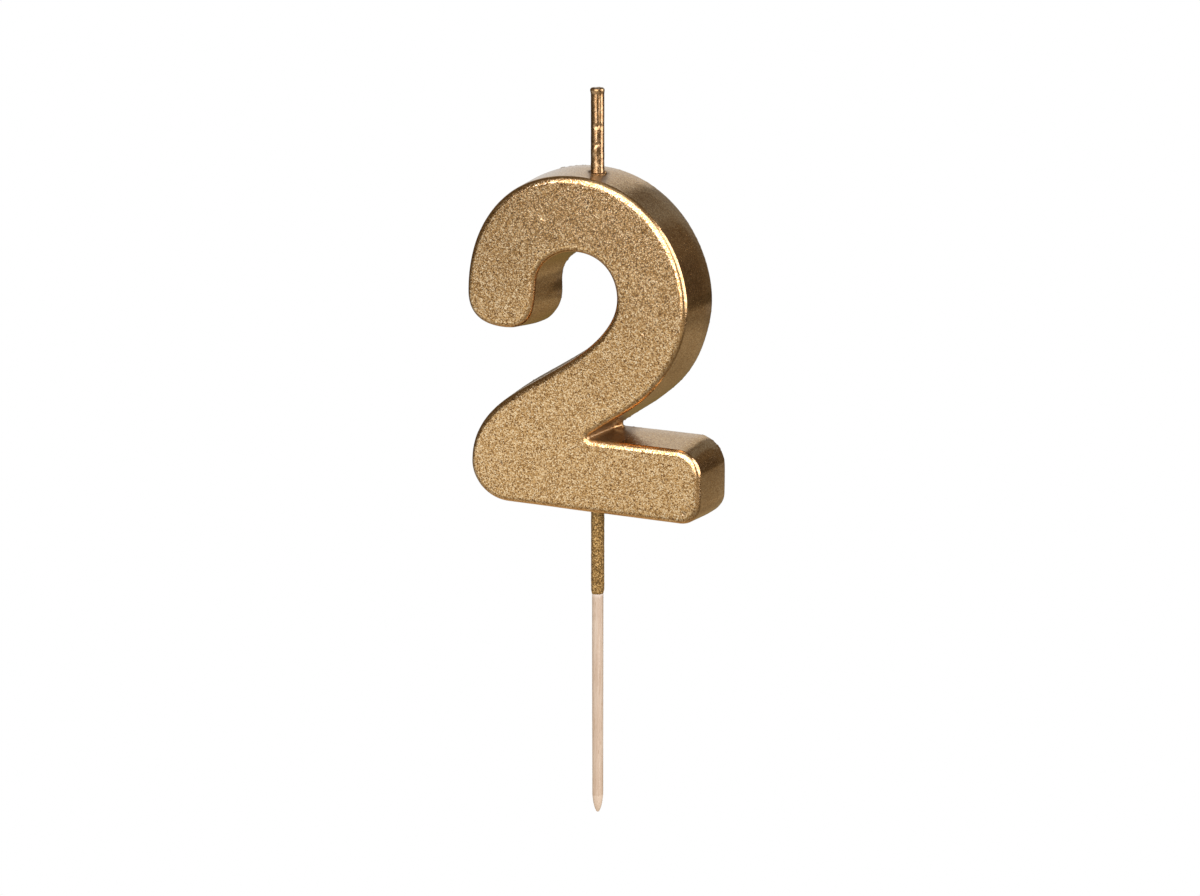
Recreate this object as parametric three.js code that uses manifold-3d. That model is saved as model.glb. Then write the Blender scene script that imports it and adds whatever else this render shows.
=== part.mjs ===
// Number birthday candle: a cast wax numeral "2", painted gold, with a coated wick in its crown and a
// wooden pick in its sole.
//
// Millimetres, +Z up. The origin is where the pick's centre line leaves the underside (the sole) of the
// numeral. The face of the numeral looks along -Y and +X runs to its right. The pick and the wick share
// the Z axis, halfway through the depth of the wax.

import * as THREE from 'three';
import { mergeVertices } from 'three/addons/utils/BufferGeometryUtils.js';
import Module from 'manifold-3d';

const wasm = await Module();
wasm.setup();

const DEG = Math.PI / 180;

// ---- wax numeral ---------------------------------------------------------------------------------
const HEIGHT = 70;                    // sole to crown, at the widest of the front rounding
const DEPTH = 12;                     // face to back
const FACE_ROUND = 1.35;              // radius that rolls the face into the side walls
const BACK_ROUND = 0.35;              // small break on the back edge, the open side of the mould
const DRAFT = 0.75;                   // how far the side walls spread out from the face to the back
const BAR_TOP = 15.65;                // upper side of the foot bar
const BAR_RIGHT = 25.6;               // right end of the foot bar
const BAR_UPPER_CORNER = 5.3;         // corner radii of that end
const BAR_LOWER_CORNER = 4.5;
const DIAGONAL = { x: 9.8, z: 22.8, slope: 34.4 };  // a point on the diagonal's lower side, and its angle
const NOTCH_ROUND = 0.5;              // radius at the bottom of the notch between diagonal and bar
const NOTCH_ROUND_LEAST = 0.25;

// ---- wick ----------------------------------------------------------------------------------------
const WICK_TOP = 87.6;                // height of the tip of the coated wick
const WICK_ROOT = 70.3;               // height of the crown around the wick
const COAT_R = 1.43;                  // outside of the coated wick
const COAT_WALL = 0.38;
const TIP_R = 1.5;                    // dipped tip, a little thicker than the rest
const STRANDS = 3;
const STRAND_R = 0.3;
const PLAIT_PITCH = 6;                // length of one full round of the plait
const PLAIT_WIDE = 0.62;              // how far a strand swings across and through the plait
const PLAIT_THICK = 0.45;
const WICK_HOLE_R = 1.15;
const WICK_HOLE_DEPTH = 11;
const SEAL_R = 1.85;                  // bead of wax that closes the hole around the wick
const SEAL_RISE = 0.9;
const SEAL_SINK = 0.6;

// ---- pick ----------------------------------------------------------------------------------------
const PICK_R = 1.2;
const PICK_TIP_Z = -68.8;
const PICK_LENGTH = 80;
const PICK_TAPER = 4.2;               // length of the sharpened end
const PICK_POINT_R = 0.42;            // radius that blunts the point
const PICK_END_R = 1.17;              // the pick thins slightly towards its sharpened end
const SOCKET_R = 1.65;
const BOND_R = 1.6;                   // wax that bonds the pick into its socket
const GOLD_R = 1.46;                  // dipped gold coat on the top of the pick
const GOLD_TOP = -0.55;
const GOLD_END = -19.5;

const FIT = 0.05;                     // clearance between a piece and what it sits in

const GOLD = { color: 0xb08a4c, roughness: 0.38, metalness: 0.85 };
const GOLD_LACQUER = { color: 0x9a6f35, roughness: 0.22, metalness: 0.9 };
const GOLD_SPRAY = { color: 0x8f7434, roughness: 0.6, metalness: 0.7 };
const COTTON = { color: 0xe9e2d2, roughness: 0.95, metalness: 0 };
const CLEAR_WAX = { color: 0xd9c9a6, roughness: 0.5, metalness: 0 };
const BIRCH = { color: 0xe2c9a4, roughness: 0.7, metalness: 0 };

function piece(name, geometry, finish) {
  const mesh = new THREE.Mesh(geometry, new THREE.MeshStandardMaterial(finish));
  mesh.name = name;
  return mesh;
}

// A turned shape about Z from (radius, height) pairs that start and end on the axis or close on themselves.
function turned(profile, segments = 28) {
  const points = profile.map(([r, z]) => new THREE.Vector2(r, z));
  const geometry = new THREE.LatheGeometry(points, segments);
  geometry.rotateX(Math.PI / 2);
  return geometry;
}

function solidOf(geometry) {
  const bare = geometry.clone();
  bare.deleteAttribute('normal');
  bare.deleteAttribute('uv');
  const merged = mergeVertices(bare, 1e-4);
  const mesh = new wasm.Mesh({
    numProp: 3,
    vertProperties: new Float32Array(merged.attributes.position.array),
    triVerts: new Uint32Array(merged.index.array),
  });
  mesh.merge();
  return new wasm.Manifold(mesh);
}

function geometryOf(solid) {
  const mesh = solid.getMesh();
  const geometry = new THREE.BufferGeometry();
  geometry.setAttribute('position', new THREE.BufferAttribute(new Float32Array(mesh.vertProperties), 3));
  geometry.setIndex(new THREE.BufferAttribute(new Uint32Array(mesh.triVerts), 1));
  geometry.computeVertexNormals();
  return geometry;
}

// ---- outline of the numeral ------------------------------------------------------------------------
// The curved run of the "2" goes clockwise seen from the front: from the sole, round the lower left,
// up the diagonal, round the inside of the bowl and the hook, and back over the crown to the diagonal's
// lower side. Each knot has its place, the heading of the outline through it (degrees from +X towards
// +Z), and the lengths of its curve handles before and after it.
const KNOTS = [
  { x: -18.2, z: 0, heading: 180, before: 0, after: 5.6 },            // end of the flat sole
  { x: -27.0, z: 7.9, heading: 90, before: 3.7, after: 10.8 },        // lower left shoulder
  { x: -9.5, z: 28.2, heading: 31.8, before: 8.6, after: 6.3 },       // upper side of the diagonal
  { x: 6.7, z: 45.5, heading: 90, before: 7.7, after: 5.1 },          // inside of the bowl
  { x: -2.7, z: 54.5, heading: 180, before: 5.8, after: 4.3 },        // roof of the bowl
  { x: -11.4, z: 48.7, heading: 255.6, before: 3.2, after: 3.3 },     // inner side of the hook
  { x: -18.6, z: 37.4, heading: 180, before: 7.9, after: 3.3 },       // tip of the hook
  { x: -27.4, z: 44.4, heading: 90, before: 6.4, after: 13.6 },       // outer side of the hook
  { x: -3.3, z: HEIGHT, heading: 0, before: 15.7, after: 16.5 },      // crown
  { x: 22.3, z: 44.7, heading: 270, before: 11.1, after: 10.0 },      // outside of the bowl
  { x: DIAGONAL.x, z: DIAGONAL.z, heading: 180 + DIAGONAL.slope, before: 6.6, after: 0 },
];
const CURVE_STEPS = 14;
const CORNER_STEPS = 8;
const NOTCH_STEPS = 5;

function directionOf(heading) {
  return new THREE.Vector2(Math.cos(heading * DEG), Math.sin(heading * DEG));
}

// Side normal pointing out of the wax: the outline runs clockwise, so out is to the left.
function outwardOf(heading) {
  return directionOf(heading + 90);
}

function curveBetween(a, b) {
  const start = new THREE.Vector2(a.x, a.z);
  const end = new THREE.Vector2(b.x, b.z);
  return new THREE.CubicBezierCurve(
    start,
    directionOf(a.heading).multiplyScalar(a.after).add(start),
    directionOf(b.heading).multiplyScalar(-b.before).add(end),
    end,
  );
}

// Points with their outward normals along the corner of the bar that turns from one heading to the next.
function cornerPoints(cx, cz, radius, fromHeading) {
  const points = [];
  for (let i = 0; i <= CORNER_STEPS; i++) {
    const out = outwardOf(fromHeading - (90 * i) / CORNER_STEPS);
    points.push({ at: new THREE.Vector2(cx + radius * out.x, cz + radius * out.y), out });
  }
  return points;
}

function curvedRun() {
  const points = [];
  for (let k = 0; k + 1 < KNOTS.length; k++) {
    const curve = curveBetween(KNOTS[k], KNOTS[k + 1]);
    for (let i = 0; i < CURVE_STEPS; i++) {
      const t = i / CURVE_STEPS;
      const along = curve.getTangent(t);
      points.push({ at: curve.getPoint(t), out: new THREE.Vector2(-along.y, along.x) });
    }
  }
  const last = KNOTS[KNOTS.length - 1];
  points.push({ at: new THREE.Vector2(last.x, last.z), out: outwardOf(last.heading) });
  return points;
}

// Everything but the notch, with normals, so that any ring of the body is this run moved along them.
const RUN = [
  ...cornerPoints(BAR_RIGHT - BAR_UPPER_CORNER, BAR_TOP - BAR_UPPER_CORNER, BAR_UPPER_CORNER, 0),
  ...cornerPoints(BAR_RIGHT - BAR_LOWER_CORNER, BAR_LOWER_CORNER, BAR_LOWER_CORNER, 270),
  ...curvedRun(),
];

// The notch is a V between the bar's flat top and the diagonal's straight side, closed by a small arc
// that touches both. Growing the outline moves both sides inwards and pushes the V to the right.
function notchPoints(grow) {
  const half = (DIAGONAL.slope / 2) * DEG;
  const cornerZ = BAR_TOP + grow;
  const side = outwardOf(180 + DIAGONAL.slope);
  const sideX = DIAGONAL.x + side.x * grow;
  const sideZ = DIAGONAL.z + side.y * grow;
  const cornerX = sideX - (sideZ - cornerZ) / Math.tan(DIAGONAL.slope * DEG);
  const radius = Math.max(NOTCH_ROUND - grow, NOTCH_ROUND_LEAST);
  const reach = radius / Math.sin(half);
  const cx = cornerX + reach * Math.cos(half);
  const cz = cornerZ + reach * Math.sin(half);
  const sweep = 180 - DIAGONAL.slope;
  const points = [];
  for (let i = 0; i <= NOTCH_STEPS; i++) {
    const angle = (90 + DIAGONAL.slope + (sweep * i) / NOTCH_STEPS) * DEG;
    points.push(new THREE.Vector2(cx + radius * Math.cos(angle), cz + radius * Math.sin(angle)));
  }
  return points;
}

// One ring of the body, anticlockwise seen from the front, at depth y.
function ringAt(grow, y) {
  const flat = RUN.map(({ at, out }) => at.clone().addScaledVector(out, grow));
  flat.push(...notchPoints(grow));
  return flat.reverse().map((p) => new THREE.Vector3(p.x, y, p.y));
}

// A closed body through rings of equal length that run from front to back.
function bodyThrough(rings) {
  const count = rings[0].length;
  const positions = rings.flat().flatMap((p) => [p.x, p.y, p.z]);
  const index = [];
  for (let r = 0; r + 1 < rings.length; r++) {
    for (let i = 0; i < count; i++) {
      const a = r * count + i;
      const b = r * count + ((i + 1) % count);
      index.push(a, a + count, b, b, a + count, b + count);
    }
  }
  const cap = (ring, offset, flip) => {
    const flat = ring.map((p) => new THREE.Vector2(p.x, p.z));
    for (const [i, j, k] of THREE.ShapeUtils.triangulateShape(flat, [])) {
      index.push(...(flip ? [i, k, j] : [i, j, k]).map((n) => n + offset));
    }
  };
  cap(rings[0], 0, false);
  cap(rings[rings.length - 1], (rings.length - 1) * count, true);
  const geometry = new THREE.BufferGeometry();
  geometry.setAttribute('position', new THREE.Float32BufferAttribute(positions, 3));
  geometry.setIndex(index);
  return geometry;
}

const FACE_STEPS = 4;
const BACK_STEPS = 2;

function numeralBody() {
  const rings = [];
  for (let i = 0; i <= FACE_STEPS; i++) {
    const turn = (90 * i * DEG) / FACE_STEPS;
    const grow = -FACE_ROUND * (1 - Math.sin(turn));
    rings.push(ringAt(grow, -DEPTH / 2 + FACE_ROUND * (1 - Math.cos(turn))));
  }
  for (let i = 0; i <= BACK_STEPS; i++) {
    const turn = (90 * i * DEG) / BACK_STEPS;
    const grow = DRAFT - BACK_ROUND * (1 - Math.cos(turn));
    rings.push(ringAt(grow, DEPTH / 2 - BACK_ROUND * (1 - Math.sin(turn))));
  }
  return bodyThrough(rings);
}

// ---- pieces ----------------------------------------------------------------------------------------
function waxNumeral() {
  const over = 5;
  const wickHole = turned([
    [0, WICK_ROOT - WICK_HOLE_DEPTH],
    [WICK_HOLE_R, WICK_ROOT - WICK_HOLE_DEPTH],
    [WICK_HOLE_R, WICK_ROOT - SEAL_SINK],
    [SEAL_R + FIT, WICK_ROOT - SEAL_SINK],
    [SEAL_R + FIT, WICK_ROOT + over],
    [0, WICK_ROOT + over],
  ]);
  const socketTop = PICK_TIP_Z + PICK_LENGTH + BOND_R - PICK_R;
  const socket = turned([
    [0, -over],
    [SOCKET_R, -over],
    [SOCKET_R, socketTop],
    [0, socketTop],
  ]);
  const solid = solidOf(numeralBody()).subtract(solidOf(wickHole)).subtract(solidOf(socket));
  return piece('wax_numeral', geometryOf(solid), GOLD);
}

// A strand of a flat three-strand plait: it swings once across for every two swings through.
class PlaitCurve extends THREE.Curve {
  constructor(bottom, top, phase) {
    super();
    this.bottom = bottom;
    this.top = top;
    this.phase = phase;
  }

  getPoint(t, target = new THREE.Vector3()) {
    const z = THREE.MathUtils.lerp(this.bottom, this.top, t);
    const turn = (2 * Math.PI * z) / PLAIT_PITCH + this.phase;
    return target.set(PLAIT_WIDE * Math.sin(turn), PLAIT_THICK * Math.sin(2 * turn), z);
  }
}

function wickStrand(number) {
  const bottom = WICK_ROOT - WICK_HOLE_DEPTH + 2 * STRAND_R;
  const top = WICK_TOP - COAT_WALL - 2 * STRAND_R;
  const round = new THREE.Shape().absarc(0, 0, STRAND_R, 0, 2 * Math.PI);
  const geometry = new THREE.ExtrudeGeometry(round, {
    extrudePath: new PlaitCurve(bottom, top, (2 * Math.PI * number) / STRANDS),
    steps: Math.round((top - bottom) / 0.55),
    curveSegments: 3,
    bevelEnabled: false,
  });
  return piece(`wick_strand_${number + 1}`, geometry, COTTON);
}

// The coat is a thin tube over the plait, closed where the tip was dipped and open into the seal.
function wickCoat() {
  const bottom = WICK_ROOT + SEAL_RISE - 0.35;
  const bore = COAT_R - COAT_WALL;
  return piece('wick_gold_coat', turned([
    [bore, bottom],
    [COAT_R, bottom],
    [COAT_R, WICK_TOP - 1.3],
    [TIP_R, WICK_TOP - 0.7],
    [TIP_R - 0.1, WICK_TOP - 0.15],
    [TIP_R - 0.5, WICK_TOP],
    [0, WICK_TOP - 0.1],
    [0, WICK_TOP - COAT_WALL],
    [bore, WICK_TOP - COAT_WALL],
    [bore, bottom],
  ]), GOLD_LACQUER);
}

// A ring of wax sunk into the mouth of the hole, that creeps a little way up the wick.
function wickSeal() {
  const bottom = WICK_ROOT - SEAL_SINK + FIT;
  const coatBottom = WICK_ROOT + SEAL_RISE - 0.35;
  const bore = COAT_R - COAT_WALL;
  return piece('wick_seal', turned([
    [bore, bottom],
    [SEAL_R, bottom],
    [SEAL_R, WICK_ROOT + 0.1],
    [COAT_R + 0.2, WICK_ROOT + 0.35],
    [COAT_R + 0.05, coatBottom - FIT],
    [bore, coatBottom - FIT],
    [bore, bottom],
  ]), GOLD_LACQUER);
}

function woodenPick() {
  const top = PICK_TIP_Z + PICK_LENGTH;
  const profile = [[0, PICK_TIP_Z]];
  for (let turn = 30; turn <= 75; turn += 15) {
    const z = PICK_TIP_Z + PICK_POINT_R * (1 - Math.cos(turn * DEG));
    profile.push([PICK_POINT_R * Math.sin(turn * DEG), z]);
  }
  profile.push(
    [PICK_END_R * 0.78, PICK_TIP_Z + PICK_TAPER * 0.5],
    [PICK_END_R, PICK_TIP_Z + PICK_TAPER],
    [PICK_R, GOLD_END],
    [PICK_R, top - 0.2],
    [PICK_R - 0.2, top],
    [0, top],
  );
  return piece('wooden_pick', turned(profile), BIRCH);
}

function pickGoldCoat() {
  const bore = PICK_R + FIT;
  return piece('pick_gold_coat', turned([
    [bore, GOLD_END],
    [PICK_R + 0.12, GOLD_END],
    [GOLD_R, GOLD_END + 0.7],
    [GOLD_R, GOLD_TOP],
    [bore, GOLD_TOP],
    [bore, GOLD_END],
  ]), GOLD_SPRAY);
}

// Wax that filled the socket around the pick's upper end and set there, cup-shaped with the cup upside down.
function pickBond() {
  const top = PICK_TIP_Z + PICK_LENGTH;
  const bore = PICK_R + FIT;
  return piece('pick_bond_wax', turned([
    [bore, 0.1],
    [BOND_R, 0.1],
    [BOND_R, top + BOND_R - PICK_R - FIT],
    [0, top + BOND_R - PICK_R - FIT],
    [0, top + FIT],
    [bore, top + FIT],
    [bore, 0.1],
  ]), CLEAR_WAX);
}

const candle = new THREE.Group();
candle.name = 'number_candle';

const wick = new THREE.Group();
for (let number = 0; number < STRANDS; number++) {
  wick.add(wickStrand(number));
}
wick.add(wickCoat(), wickSeal());

const pick = new THREE.Group();
pick.add(woodenPick(), pickGoldCoat(), pickBond());

candle.add(waxNumeral(), wick, pick);

export default candle;
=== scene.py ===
import math

import bpy
import numpy as np
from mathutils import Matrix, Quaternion, Vector, noise
from mathutils.geometry import delaunay_2d_cdt


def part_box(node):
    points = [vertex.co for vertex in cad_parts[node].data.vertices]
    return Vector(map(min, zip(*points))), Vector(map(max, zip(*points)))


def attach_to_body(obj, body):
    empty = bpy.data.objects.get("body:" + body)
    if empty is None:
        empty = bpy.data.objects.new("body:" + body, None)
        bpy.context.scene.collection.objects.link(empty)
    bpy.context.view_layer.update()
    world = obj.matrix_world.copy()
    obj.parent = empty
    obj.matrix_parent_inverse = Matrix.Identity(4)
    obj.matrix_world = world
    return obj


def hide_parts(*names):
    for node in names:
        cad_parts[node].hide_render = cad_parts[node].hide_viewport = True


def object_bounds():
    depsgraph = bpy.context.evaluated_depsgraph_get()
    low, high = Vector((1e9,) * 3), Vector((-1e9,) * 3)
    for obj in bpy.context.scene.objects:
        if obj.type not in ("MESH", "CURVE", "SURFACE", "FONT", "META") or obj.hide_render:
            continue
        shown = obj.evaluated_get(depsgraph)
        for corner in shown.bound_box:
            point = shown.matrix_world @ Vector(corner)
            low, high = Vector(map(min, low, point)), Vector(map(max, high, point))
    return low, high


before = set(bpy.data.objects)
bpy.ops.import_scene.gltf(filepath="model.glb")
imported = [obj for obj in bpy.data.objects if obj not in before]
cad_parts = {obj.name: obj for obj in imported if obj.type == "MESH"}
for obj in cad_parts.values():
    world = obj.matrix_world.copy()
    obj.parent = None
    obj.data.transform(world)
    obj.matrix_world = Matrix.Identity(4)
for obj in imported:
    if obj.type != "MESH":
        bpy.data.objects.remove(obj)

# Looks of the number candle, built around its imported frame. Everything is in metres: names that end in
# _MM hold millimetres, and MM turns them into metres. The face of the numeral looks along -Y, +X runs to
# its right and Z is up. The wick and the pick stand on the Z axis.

cad_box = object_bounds()

MM = 0.001
TAU = 2 * math.pi
GROUND = cad_box[0][2]              # the pick's point stands this high
BACK = cad_box[1][1]                # depth of the numeral's flat back
CLEARANCE = 0.05 * MM               # between a piece and the hole that it sits in


# ---- small tools -----------------------------------------------------

def smoothstep(low, high, x):
    t = np.clip((np.asarray(x, float) - low) / (high - low), 0, 1)
    return t * t * (3 - 2 * t)


def hill(x, centre, width):
    """A smooth hill of height 1 at centre that is gone one width away."""
    t = np.clip(np.abs(np.asarray(x, float) - centre) / width, 0, 1)
    return (1 - t * t) ** 2


def turn_gap(a, b):
    """Signed difference of two angles, between -pi and pi."""
    return (np.asarray(a) - b + math.pi) % TAU - math.pi


def rough(points, wavelength, seed):
    """Smooth noise between about -1 and 1 at each point, with bumps of about that wavelength."""
    shift = Vector((seed * 17.3, seed * 5.1, seed * 9.7))
    return np.array([noise.noise(Vector(p) / wavelength + shift) for p in points])


def on_ring(angles, radius, z):
    """Points at those angles around the Z axis."""
    return np.stack([radius * np.cos(angles), radius * np.sin(angles), np.full_like(angles, z)], 1)


def make_mesh(name, points, faces, material, smooth=True):
    mesh = bpy.data.meshes.new(name)
    mesh.from_pydata([tuple(p) for p in points], [], faces)
    mesh.validate()
    mesh.polygons.foreach_set("use_smooth", [smooth] * len(mesh.polygons))
    mesh.materials.append(material)
    mesh.update()
    made = bpy.data.objects.new(name, mesh)
    bpy.context.scene.collection.objects.link(made)
    return made


def attach(piece, slot, *nodes):
    """The piece rides on the only body and stands for those CAD nodes, which it hides. The slot is not
    used.
    """
    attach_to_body(piece, "root")
    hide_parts(*nodes)


def skin(rows, around, closed=False):
    """Quads between rows of points that each go once around. Closed joins the last row to the first."""
    faces = []
    for r in range(rows if closed else rows - 1):
        here, there = r * around, (r + 1) % rows * around
        for i in range(around):
            j = (i + 1) % around
            faces.append((here + i, here + j, there + j, there + i))
    return faces


def turned(name, material, rows, around, place, ends="closed"):
    """A piece about Z. place(angles, row) gives radius and height around one row; rows that go up lie
    on the outside. Ends are fans to a middle point, or "loop" joins the last row to the first."""
    angles = np.arange(around) * TAU / around
    points = [on_ring(angles, *place(angles, row)) for row in rows]
    faces = skin(len(rows), around, ends == "loop")
    if ends == "closed":
        last = (len(rows) - 1) * around
        foot, head = len(rows) * around, len(rows) * around + 1
        faces += [(foot, (i + 1) % around, i) for i in range(around)]
        faces += [(head, last + i, last + (i + 1) % around) for i in range(around)]
        points.append(np.array([points[0].mean(0), points[-1].mean(0)]))
    return make_mesh(name, np.concatenate(points), faces, material)


# ---- camera ----------------------------------------------------------

AZIMUTH = math.radians(25.5)        # the camera stands to the right of the face
ELEVATION = math.radians(14.66)     # and looks down a little
DISTANCE = 0.5451
LENS_MM = 78
SENSOR_MM = 36
NEAREST_SEEN = 10 * MM
AIM_OFFSET = Vector((0.02, 2.96, 2.28)) * MM     # from the middle of the CAD box


def place_camera():
    middle = (Vector(cad_box[0]) + Vector(cad_box[1])) / 2
    forward = Vector((-math.sin(AZIMUTH) * math.cos(ELEVATION), math.cos(AZIMUTH) * math.cos(ELEVATION),
                      -math.sin(ELEVATION)))
    camera = bpy.data.objects.new("camera", bpy.data.cameras.new("camera"))
    camera.data.lens = LENS_MM
    camera.data.sensor_width = SENSOR_MM
    camera.data.clip_start = NEAREST_SEEN
    camera.location = middle + AIM_OFFSET - forward * DISTANCE
    camera.rotation_euler = forward.to_track_quat("-Z", "Y").to_euler()
    bpy.context.scene.collection.objects.link(camera)
    bpy.context.scene.camera = camera


# ---- materials -------------------------------------------------------

MIX_A, MIX_B, MIX_RESULT = 6, 7, 2      # the colour sockets of a Mix node


class Shader:
    """Builds a node tree: add() makes a node, and an input may be a value or another node's output."""

    def __init__(self, name):
        self.material = bpy.data.materials.new(name)
        self.material.use_nodes = True
        self.tree = self.material.node_tree
        self.tree.nodes.clear()
        self.output = self.tree.nodes.new("ShaderNodeOutputMaterial")

    def add(self, kind, inputs=None, **settings):
        made = self.tree.nodes.new("ShaderNode" + kind)
        for key, value in settings.items():
            setattr(made, key, value)
        for key, value in (inputs or {}).items():
            if isinstance(value, bpy.types.NodeSocket):
                self.tree.links.new(value, made.inputs[key])
            else:
                made.inputs[key].default_value = value
        return made

    def place(self, stretch=(1, 1, 1)):
        """Object coordinates, stretched."""
        where = self.add("TexCoord").outputs["Object"]
        return self.add("Mapping", {"Vector": where, "Scale": stretch}).outputs["Vector"]

    def noise(self, where, per_metre, detail=2.0, roughness=0.5):
        inputs = {"Vector": where, "Scale": per_metre, "Detail": detail, "Roughness": roughness}
        return self.add("TexNoise", inputs).outputs["Fac"]

    def cells(self, where, per_metre):
        """A random colour for each small cell."""
        inputs = {"Vector": where, "Scale": per_metre, "Randomness": 1.0}
        return self.add("TexVoronoi", inputs).outputs["Color"]

    def marked(self, name):
        """A value that the mesh holds at each of its points."""
        return self.add("Attribute", attribute_name=name).outputs["Fac"]

    def channel(self, colour, name):
        return self.add("SeparateColor", {"Color": colour}).outputs[name]

    def along(self, vector, axis):
        return self.add("SeparateXYZ", {"Vector": vector}).outputs[axis]

    def ramp(self, fac, stops):
        made = self.add("ValToRGB", {"Fac": fac})
        marks = made.color_ramp.elements
        while len(marks) < len(stops):
            marks.new(0.5)
        for mark, (at, colour) in zip(marks, stops):
            mark.position = at
            mark.color = (*colour, 1)
        return made.outputs["Color"]

    def spread(self, value, low, high, to_low, to_high, **settings):
        inputs = {"Value": value, "From Min": low, "From Max": high, "To Min": to_low, "To Max": to_high}
        return self.add("MapRange", inputs, **settings).outputs["Result"]

    def times(self, a, b):
        return self.add("Math", {0: a, 1: b}, operation="MULTIPLY").outputs[0]

    def plus(self, a, b):
        return self.add("Math", {0: a, 1: b}, operation="ADD").outputs[0]

    def vector(self, operation, inputs):
        return self.add("VectorMath", inputs, operation=operation).outputs["Vector"]

    def mix(self, fac, a, b, blend="MIX"):
        made = self.add("Mix", data_type="RGBA", blend_type=blend)
        for index, value in ((0, fac), (MIX_A, a), (MIX_B, b)):
            if isinstance(value, bpy.types.NodeSocket):
                self.tree.links.new(value, made.inputs[index])
            else:
                made.inputs[index].default_value = value if index == 0 else (*value, 1)
        return made.outputs[MIX_RESULT]

    def bump(self, height, depth, strength, under=None):
        inputs = {"Height": height, "Distance": depth, "Strength": strength}
        if under is not None:
            inputs["Normal"] = under
        return self.add("Bump", inputs).outputs["Normal"]

    def tilt(self, cell_colour, amount, normal):
        """Leans the surface of each cell its own random way, as flakes in paint do."""
        random = self.vector("SUBTRACT", {0: cell_colour, 1: (0.5, 0.5, 0.5)})
        lean = self.vector("SCALE", {0: random, "Scale": amount})
        leaning = self.vector("ADD", {0: normal, 1: lean})
        return self.vector("NORMALIZE", {0: leaning})

    def finish(self, **inputs):
        named = {key.replace("_", " "): value for key, value in inputs.items()}
        surface = self.add("BsdfPrincipled", named)
        self.tree.links.new(surface.outputs["BSDF"], self.output.inputs["Surface"])
        return self.material


# Colour ramps are lists of (place from 0 to 1, colour). Numbers of flakes and cells are per metre.

SMALL_FLAKES = 7400
LARGE_FLAKES = 4700
FLAKE_SHADES = [(0.14, (0.10, 0.035, 0.005)), (0.40, (0.44, 0.245, 0.075)),
                (0.60, (0.71, 0.44, 0.17)), (0.86, (1.0, 0.845, 0.56))]
SMOOTH_SHADES = [(0.3, (0.53, 0.325, 0.135)), (0.7, (0.60, 0.38, 0.175))]
# colour that the painted shade darkens the paint towards, in the notch, the pits and at the wick's root
PAINTED_SHADE_COLOUR = (0.10, 0.057, 0.018)
FLAKE_GLOSS = 0.20
SMALL_LEAN = 0.07                   # how far small flakes lean where the grain is full
LARGE_LEAN = 0.05
STRAY_LEAN = 0.26                   # and how far the few loose flakes on the walls lean


def gold_paint():
    """Thin metallic paint on wax: flakes lie rough on the face and smooth on rounds and side walls. Shade
    is painted into its colour where the painted-shade mark is set.
    """
    s = Shader("gold_paint")
    where = s.place()
    grain = s.marked("grain")
    painted_shade = s.marked("painted_shade")
    small = s.cells(where, SMALL_FLAKES)
    large = s.cells(where, LARGE_FLAKES)

    flake = s.plus(s.times(s.channel(small, "Red"), 0.4), s.times(s.channel(large, "Red"), 0.6))
    smooth = s.ramp(s.noise(where, 90, 3), SMOOTH_SHADES)
    covered = s.mix(grain, smooth, s.ramp(flake, FLAKE_SHADES))
    # painted shade: the paint darkens towards that colour in the notch, the pits and around the wick's root
    colour = s.mix(s.times(painted_shade, 0.8), covered, PAINTED_SHADE_COLOUR)

    bare_normal = s.add("NewGeometry").outputs["Normal"]
    facing = s.add("Math", {0: s.along(bare_normal, "Y")}, operation="ABSOLUTE").outputs[0]
    rounding = s.times(s.spread(facing, 0.12, 0.4, 0.0, 1.0), s.spread(facing, 0.9, 0.995, 1.0, 0.0))
    satin = s.spread(s.noise(where, 700, 3), 0.3, 0.7, 0.14, 0.19)
    gloss = s.add("Mix", {0: grain, 2: satin, 3: FLAKE_GLOSS}, data_type="FLOAT").outputs[0]
    # the painted-shade mark also makes the paint rougher there
    roughness = s.plus(s.plus(gloss, s.times(rounding, 0.08)), s.times(painted_shade, 0.38))

    stray = s.spread(s.channel(large, "Green"), 0.75, 1.0, 0.0, 1.0)
    loose = s.times(stray, s.spread(grain, WALL_GRAIN, 1.0, STRAY_LEAN, 0.0))
    lean = s.plus(s.times(grain, SMALL_LEAN), loose)
    tilted = s.tilt(small, lean, s.tilt(large, s.times(grain, LARGE_LEAN), bare_normal))
    normal = s.bump(s.noise(where, 2600, 2), 0.03 * MM, 0.25, under=tilted)
    return s.finish(Base_Color=colour, Metallic=1.0, Roughness=roughness, Normal=normal,
                    Coat_Weight=0.4, Coat_Roughness=0.2, Coat_IOR=1.5)


LACQUER_SHADES = [(0.30, (0.26, 0.145, 0.05)), (0.5, (0.37, 0.23, 0.105)), (0.72, (0.50, 0.35, 0.19))]


def gold_lacquer():
    """Glossy lacquer on the wick, darker where it lies thinner."""
    s = Shader("gold_lacquer")
    where = s.place()
    colour = s.ramp(s.noise(where, 1400, 4, 0.6), LACQUER_SHADES)
    roughness = s.spread(s.noise(where, 2600, 2), 0.3, 0.7, 0.18, 0.34)
    normal = s.bump(s.noise(where, 4200, 3), 0.05 * MM, 0.3)
    return s.finish(Base_Color=colour, Metallic=1.0, Roughness=roughness, Normal=normal,
                    Coat_Weight=0.3, Coat_Roughness=0.12, Coat_IOR=1.5)


SPRAY_GRIT = 5200
SPRAY_SHADES = [(0.24, (0.06, 0.035, 0.007)), (0.42, (0.20, 0.112, 0.026)),
                (0.66, (0.33, 0.19, 0.05)), (0.84, (0.72, 0.50, 0.20))]


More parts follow.
